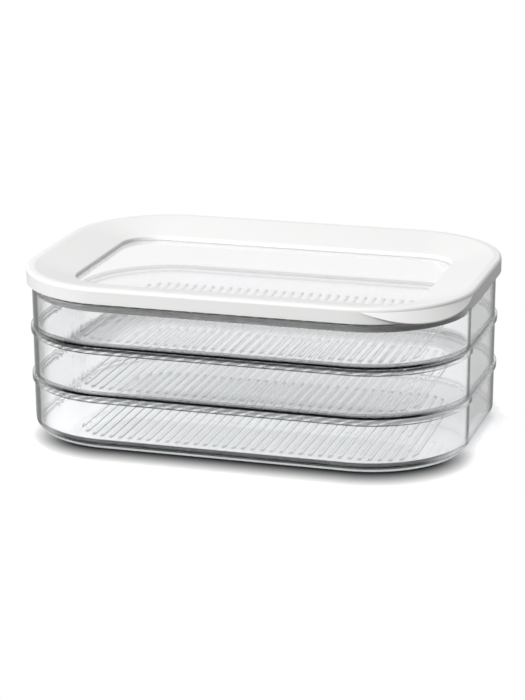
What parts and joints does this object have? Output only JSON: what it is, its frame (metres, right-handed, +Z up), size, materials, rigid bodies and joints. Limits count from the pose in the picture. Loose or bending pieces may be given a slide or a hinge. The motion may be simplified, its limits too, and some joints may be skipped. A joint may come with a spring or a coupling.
{
  "type": "stacking food storage box",
  "caption": "Low stacking box of clear ribbed trays nested rim to foot, under a white dished lid with a clear window and a flared corner lip.",
  "frame": {"origin": "on the surface that the box stands on, under the middle of the stack", "axes": "+X along the long side, towards the end with the lid's lip; -Y to the front, where the lip's corner faces; +Z up"},
  "size_m": [0.2524, 0.1756, 0.0909],
  "materials": {
    "clear_plastic": "clear, polished",
    "white_plastic": "white, fine satin",
    "window_plastic": "clear, polished"
  },
  "bodies": {
    "tray_bottom": {"tray_bottom": "clear_plastic"},
    "tray_middle": {"tray_middle": "clear_plastic"},
    "tray_top": {"tray_top": "clear_plastic"},
    "lid": {"lid_frame": "white_plastic", "lid_window": "window_plastic"}
  },
  "joints": [
    {"name": "middle_tray_lift", "type": "slide", "parent": "tray_bottom", "child": "tray_middle", "axis": [0, 0, 1], "range_m": [0, 0.1]},
    {"name": "top_tray_lift", "type": "slide", "parent": "tray_middle", "child": "tray_top", "axis": [0, 0, 1], "range_m": [0, 0.1]},
    {"name": "lid_lift", "type": "slide", "parent": "tray_top", "child": "lid", "axis": [0, 0, 1], "range_m": [0, 0.1]}
  ]
}
